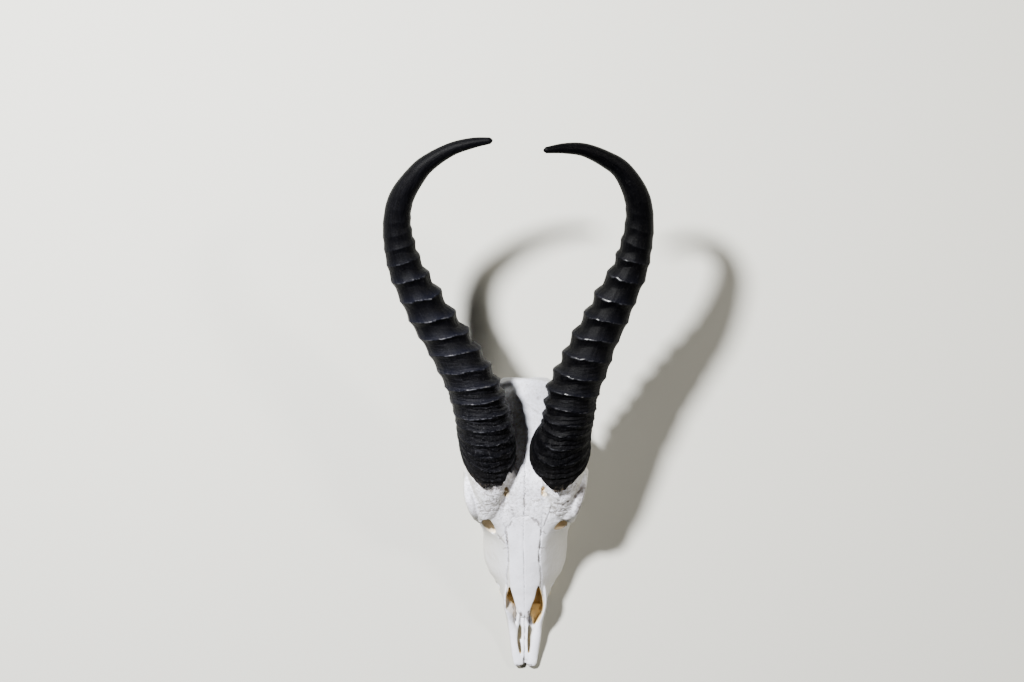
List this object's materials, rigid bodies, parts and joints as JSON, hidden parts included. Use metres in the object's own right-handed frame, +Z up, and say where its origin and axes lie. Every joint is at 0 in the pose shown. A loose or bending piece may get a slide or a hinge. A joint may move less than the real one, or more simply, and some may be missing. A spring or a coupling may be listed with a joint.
{
  "type": "springbok skull",
  "caption": "Bleached antelope skull with black, ringed, lyre-shaped horns, lying on its cheek teeth, for display or study.",
  "frame": {"origin": "middle of the bounding box's bottom, on the surface that the skull lies on", "axes": "+Z up; -Y towards the nose tip and +Y towards the horns' tips; +X towards the animal's own left side"},
  "size_m": [0.198, 0.405, 0.1583],
  "materials": {
    "bleached_bone": "matte",
    "black_horn": "satin",
    "tooth_enamel": "satin"
  },
  "bodies": {
    "root": {"cranium": "bleached_bone", "horn_sheath_left": "black_horn", "horn_sheath_right": "black_horn", "tooth_left_premolar_2": "tooth_enamel", "tooth_left_premolar_3": "tooth_enamel", "tooth_left_premolar_4": "tooth_enamel", "tooth_left_molar_1": "tooth_enamel", "tooth_left_molar_2": "tooth_enamel", "tooth_left_molar_3": "tooth_enamel", "tooth_right_premolar_2": "tooth_enamel", "tooth_right_premolar_3": "tooth_enamel", "tooth_right_premolar_4": "tooth_enamel", "tooth_right_molar_1": "tooth_enamel", "tooth_right_molar_2": "tooth_enamel", "tooth_right_molar_3": "tooth_enamel"}
  },
  "joints": []
}
